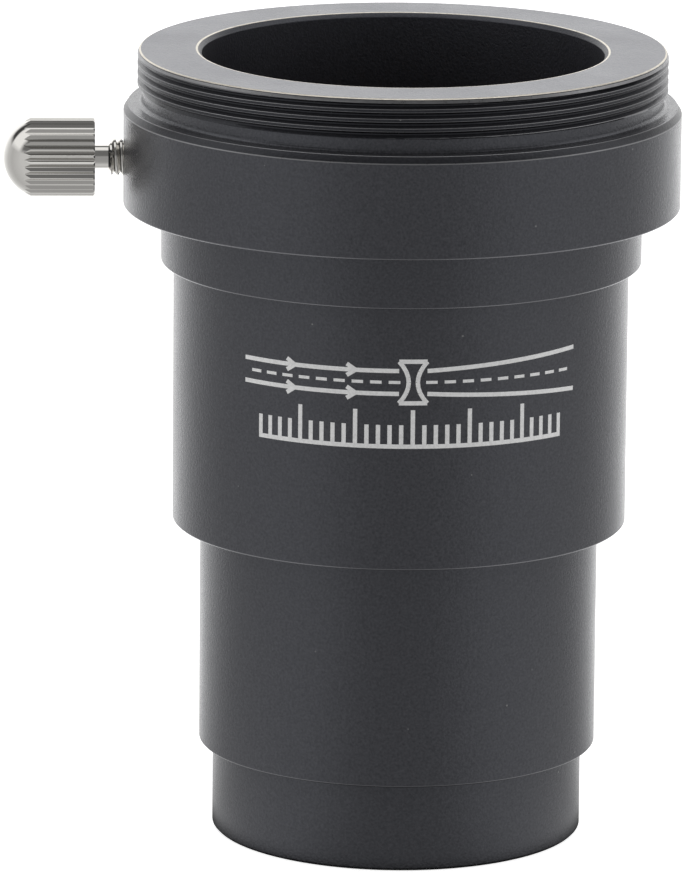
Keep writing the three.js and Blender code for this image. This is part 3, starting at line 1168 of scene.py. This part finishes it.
bpy.ops.object.select_all(action="DESELECT")
bpy.ops.mesh.primitive_circle_add(
    vertices=TEETH * 4,
    radius=HEAD_RADIUS * MM,
    fill_type="NGON",
    location=(AXIS, 0, -(HEAD_LENGTH + KNURL_MARGIN) * MM),
)
knurl = bpy.context.object
for corner, vertex in enumerate(knurl.data.vertices):
    tooth, part = divmod(corner, 4)
    turn, cut_depth = TOOTH_CORNERS[part]
    angle = math.radians(tooth * 360 / TEETH + turn)
    radius = (HEAD_RADIUS - cut_depth) * MM
    vertex.co.x = radius * math.cos(angle)
    vertex.co.y = radius * math.sin(angle)
bpy.ops.object.mode_set(mode="EDIT")
bpy.ops.mesh.select_all(action="SELECT")
knurl_rise = (0, 0, (HEAD_LENGTH + 2 * KNURL_MARGIN) * MM)
bpy.ops.mesh.extrude_region_move(TRANSFORM_OT_translate={"value": knurl_rise})
close_surface()
place_in_mesh(knurl)
boolean(blank, knurl, "INTERSECT")
print("head", len(blank.data.vertices), "vertices, closed:", is_closed(blank.data))

# %% [markdown]
# The shank is a plain neck, then the thread. Its outline comes in two open parts, below
# and above the thread strip, which are welded to the strip and joined to the head.

# %% Neck and M3 thread
NECK_RADIUS = 0.96
NECK_LENGTH = 1.06
NECK_TAPER = 0.12
NECK_SUNK = 1
M3_CREST = 1.47
M3_ROOT = 1.18
M3_PITCH = 0.5
TIP = (screw_high.x - AXIS) / MM - HEAD_BACK
TIP_CHAMFER = 0.3

thread_start = NECK_LENGTH + NECK_TAPER
thread_end = TIP - TIP_CHAMFER
neck = turned(
    "screw_neck",
    [
        (0, -NECK_SUNK),
        (NECK_RADIUS, -NECK_SUNK),
        (NECK_RADIUS, NECK_LENGTH),
        (M3_ROOT, thread_start),
    ],
    rounding=0,
    closed=False,
)
tip = turned(
    "screw_tip",
    [(M3_ROOT, thread_end), (M3_ROOT - TIP_CHAMFER, TIP), (0, TIP)],
    rounding=0,
    closed=False,
)
screw_thread = thread_strip(
    "screw_thread",
    M3_CREST,
    M3_ROOT,
    M3_PITCH,
    thread_start + 0.1,
    thread_start,
    thread_end,
    run_out=0.1,
)
shank = weld(neck, tip, screw_thread)
print("shank closed:", is_closed(shank.data))
boolean(blank, shank, "UNION")
thumb_screw = lay_along_x(blank, HEAD_BACK)
finish_piece(thumb_screw, nickel, "thumb_screw", "thumb_screw", 28)

# %% [markdown]
# ## Lens cell
# A short ring that screws into the nosepiece and holds the glass. It has an outside
# thread for the nosepiece, and a thread of the same pitch in its lower bore for a
# filter. Both are strips between open parts of the outline: from the outside thread's
# foot round the rim to the filter thread, and from there through the bore to the top.

# %% Lens cell
CELL_PITCH = 0.6
CELL_SPIGOT = 14.2
CELL_SPIGOT_ROOT = 13.88
SEAM_HEIGHT = NOSE_BOTTOM - FACE_GAP
CELL_CHAMFER = 0.2
UNDERCUT = 0.35
LEAD_IN = 0.3
LENS_POCKET = 10.15
LENS_SEAT = 10.85
LENS_SEAT_RADIUS = 9.2
FILTER_BORE = 13.95
FILTER_ROOT = 14.22
FILTER_DEPTH = 3.0
FILTER_RELIEF = 0.4
LOCK_BORE = 10.9
LOCK_BORE_TOP = 4.15

outer_start = SEAM_HEIGHT + UNDERCUT
outer_end = CELL_TOP - LEAD_IN
filter_start = LEAD_IN
filter_end = FILTER_DEPTH - FILTER_RELIEF
cell = turned(
    "cell_body",
    [
        (CELL_SPIGOT_ROOT, outer_start),
        (CELL_SPIGOT_ROOT, SEAM_HEIGHT),
        (CELL_RADIUS, SEAM_HEIGHT),
        (CELL_RADIUS, CELL_CHAMFER),
        (CELL_RADIUS - CELL_CHAMFER, CELL_BOTTOM),
        (FILTER_ROOT + 0.05, CELL_BOTTOM),
        (FILTER_ROOT, filter_start),
    ],
    closed=False,
)
cell_inside = turned(
    "cell_inside",
    [
        (FILTER_ROOT, filter_end),
        (FILTER_ROOT, FILTER_DEPTH),
        (LOCK_BORE, FILTER_DEPTH),
        (LOCK_BORE, LOCK_BORE_TOP),
        (LENS_POCKET, LOCK_BORE_TOP),
        (LENS_POCKET, LENS_SEAT),
        (LENS_SEAT_RADIUS, LENS_SEAT),
        (LENS_SEAT_RADIUS, CELL_TOP),
        (CELL_SPIGOT_ROOT - 0.1, CELL_TOP),
        (CELL_SPIGOT_ROOT, outer_end),
    ],
    closed=False,
)
outer_thread = thread_strip(
    "cell_thread",
    CELL_SPIGOT,
    CELL_SPIGOT_ROOT,
    CELL_PITCH,
    outer_start,
    outer_start,
    outer_end,
    run_out=0.15,
)
filter_thread = thread_strip(
    "filter_thread",
    FILTER_BORE,
    FILTER_ROOT,
    CELL_PITCH,
    filter_start,
    filter_start,
    filter_end,
    run_out=0.15,
)
weld(cell, cell_inside, outer_thread, filter_thread)
finish_piece(cell, blasted_black, "lens_cell", "lens_cell")
paint_faces(
    cell,
    socket_black,
    lambda radius, height, normal: radius < LOCK_BORE + EDGE_REACH and height > 0.1,
)

# %% [markdown]
# ## Retaining ring and lens shim
# The retaining ring screws in below the lenses, and two slots take the tips of a lens
# spanner. The shim keeps the two lenses half a millimetre apart at their rims, and its
# top slopes to meet the curved glass.

# %% Retaining ring
lock_radius, lock_bottom, lock_top = turned_size("lens_lock_ring")
LOCK_HOLE = 8.9
SLOT_WIDTH = 1.2
SLOT_DEPTH = 0.5

lock_ring = turned(
    "retaining_ring",
    [
        (LOCK_HOLE, lock_bottom),
        (lock_radius, lock_bottom),
        (lock_radius, lock_top),
        (LOCK_HOLE, lock_top),
    ],
    rounding=0.08,
)
bpy.ops.object.select_all(action="DESELECT")
bpy.ops.mesh.primitive_cube_add(size=1, location=(AXIS, 0, lock_bottom * MM))
slot_cutter = bpy.context.object
slot_cutter.scale = (lock_radius * 3 * MM, SLOT_WIDTH * MM, SLOT_DEPTH * 2 * MM)
place_in_mesh(slot_cutter)
boolean(lock_ring, slot_cutter, "DIFFERENCE")
finish_piece(lock_ring, stop_black, "lens_cell", "lens_lock_ring")

# %% Lens shim
shim_radius, shim_bottom, shim_top = turned_size("lens_spacer")
SHIM_HOLE = 9.3
INNER_CURVE = 22.0

slope = cap_height(INNER_CURVE, shim_radius) - cap_height(INNER_CURVE, SHIM_HOLE)
shim = turned(
    "lens_shim",
    [
        (SHIM_HOLE, shim_bottom),
        (shim_radius, shim_bottom),
        (shim_radius, shim_top),
        (SHIM_HOLE, shim_top - slope),
    ],
    rounding=0.02,
)
finish_piece(shim, stop_black, "lens_cell", "lens_spacer")

# %% [markdown]
# ## Lenses
# A barlow spreads the cone of light, so its main lens is hollow on both sides. A curved
# second lens corrects its colour. Each is an outline of two arcs, closed on the axis,
# whose poles are merged after the spin. The ground rim is inked black.

# %% Lenses
OUTER_CURVE = 34.0
MENISCUS_CURVE = 60.0
CONCAVE_CENTRE = 1.3  # thickness on the axis
MENISCUS_CENTRE = 2.4
ARC_STEPS = 16


def lens_face(curve, bend, centre, rim):
    """Points of a curved face from the axis to the rim; a positive bend rises outwards."""
    radii = [rim * step / ARC_STEPS for step in range(ARC_STEPS + 1)]
    return [(radius, centre + bend * cap_height(curve, radius)) for radius in radii]


def make_lens(name, node, lower, upper, glass):
    """Spins a lens from its lower and upper faces and inks its rim."""
    made = turned(name, lower + upper[::-1], rounding=0, closed=False, steps=128)
    finish_piece(made, glass, "lens_cell", node)
    paint_faces(made, rim_ink, lambda radius, height, normal: abs(normal.z) < 0.2)


concave_rim, concave_bottom = turned_size("concave_element")[:2]
meniscus_rim, meniscus_bottom = turned_size("meniscus_element")[:2]
concave_centre = concave_bottom + cap_height(OUTER_CURVE, concave_rim)
make_lens(
    "concave_lens",
    "concave_element",
    lens_face(OUTER_CURVE, -1, concave_centre, concave_rim),
    lens_face(INNER_CURVE, 1, concave_centre + CONCAVE_CENTRE, concave_rim),
    crown_glass,
)
make_lens(
    "meniscus_lens",
    "meniscus_element",
    lens_face(INNER_CURVE, 1, meniscus_bottom, meniscus_rim),
    lens_face(MENISCUS_CURVE, 1, meniscus_bottom + MENISCUS_CENTRE, meniscus_rim),
    flint_glass,
)

# %% [markdown]
# ## Marking
# The real tube carries two lines of white lettering. A plain diagram stands in their
# place: light rays passing a hollow lens, above a row of graduation ticks. It is drawn
# flat, as a pad is inked, from bars cut into short lengths, then rolled onto the tube
# and given a few hundredths of a millimetre of thickness.

# %% Draw the marking flat
LINE = 0.34
FINE_LINE = 0.24
RAY_ROW = 40.25
RAY_HALF = 1.65
RAY_REACH = 14.2
TICK_ROW = 35.15
TICK_REACH = 13.1
TICK_SPACING = 0.9
INK_LIFT = 0.02
BAR_STEP = 0.6
LENS_WAIST = 0.35
LENS_FLARE = 0.75
RAY_SPREAD = 0.55
RAY_GAP = 1.1
ARROWS = (-9.5, -4.5)
ARROW_BACK = 0.7
ARROW_HALF = 0.45
LONG_TICK = 2.9
SHORT_TICK = 1.7
TICKS_PER_GROUP = 5

bars = []


def bar(start, end, width=LINE):
    """Adds a flat bar between two points of the drawing, as (across, height) in mm."""
    across, up = end[0] - start[0], end[1] - start[1]
    length = math.hypot(across, up)
    bpy.ops.object.select_all(action="DESELECT")
    bpy.ops.mesh.primitive_grid_add(
        x_subdivisions=max(2, math.ceil(length / BAR_STEP)), y_subdivisions=1, size=1
    )
    made = bpy.context.object
    made.scale = (length * MM, width * MM, 1)
    made.rotation_euler = (math.pi / 2, -math.atan2(up, across), 0)
    made.location = ((start[0] + end[0]) / 2 * MM, 0, (start[1] + end[1]) / 2 * MM)
    place_in_mesh(made)
    bars.append(made)


def lens_side(height):
    """Half the drawn lens's thickness at that height from its middle."""
    return LENS_WAIST + LENS_FLARE * (height / RAY_HALF) ** 2


LENS_POINTS = 8
heights = [RAY_HALF * (2 * i / LENS_POINTS - 1) for i in range(LENS_POINTS + 1)]
for side in (-1, 1):
    for low, high in zip(heights, heights[1:]):
        bar((side * lens_side(low), RAY_ROW + low), (side * lens_side(high), RAY_ROW + high))
    ray = RAY_ROW + side * RAY_HALF * RAY_SPREAD
    rim = RAY_ROW + side * RAY_HALF
    bar((-RAY_REACH, ray), (-RAY_GAP, ray))
    bar((RAY_GAP, ray), (RAY_REACH, rim))
    bar((-lens_side(RAY_HALF), rim), (lens_side(RAY_HALF), rim))
    for arrow in ARROWS:
        bar((arrow - ARROW_BACK, ray + ARROW_HALF), (arrow, ray))
        bar((arrow - ARROW_BACK, ray - ARROW_HALF), (arrow, ray))

DASH = 0.9
DASH_GAP = 0.55
dashes = int(RAY_REACH / (DASH + DASH_GAP))
for side in (-1, 1):
    for i in range(1, dashes + 1):
        inner = side * (i * (DASH + DASH_GAP) - DASH / 2)
        bar((inner, RAY_ROW), (inner + side * DASH, RAY_ROW), FINE_LINE)

ticks = int(TICK_REACH / TICK_SPACING)
for i in range(-ticks, ticks + 1):
    height = LONG_TICK if i % TICKS_PER_GROUP == 0 else SHORT_TICK
    bar((i * TICK_SPACING, TICK_ROW), (i * TICK_SPACING, TICK_ROW + height))
bar((-ticks * TICK_SPACING - LINE / 2, TICK_ROW), (ticks * TICK_SPACING + LINE / 2, TICK_ROW))
print(len(bars), "bars drawn")

# %% Roll the marking onto the tube
MARKING_TURN = math.radians(1)

bpy.ops.object.select_all(action="DESELECT")
for part in bars:
    part.select_set(True)
bpy.context.view_layer.objects.active = bars[0]
bpy.ops.object.join()
marking = bpy.context.object
marking.name = "ray_marking"
marking.data.name = "ray_marking"
ink_radius = TUBE_RADIUS * MM
for vertex in marking.data.vertices:
    turn = vertex.co.x / ink_radius + MARKING_TURN
    lift = ink_radius + vertex.co.y
    vertex.co.x = AXIS + lift * math.sin(turn)
    vertex.co.y = -lift * math.cos(turn)
thick = marking.modifiers.new("thick", "SOLIDIFY")
thick.thickness = INK_LIFT * 2 * MM
thick.offset = 0
bpy.ops.object.modifier_apply(modifier="thick")
finish_piece(marking, marking_ink, "tube", None)
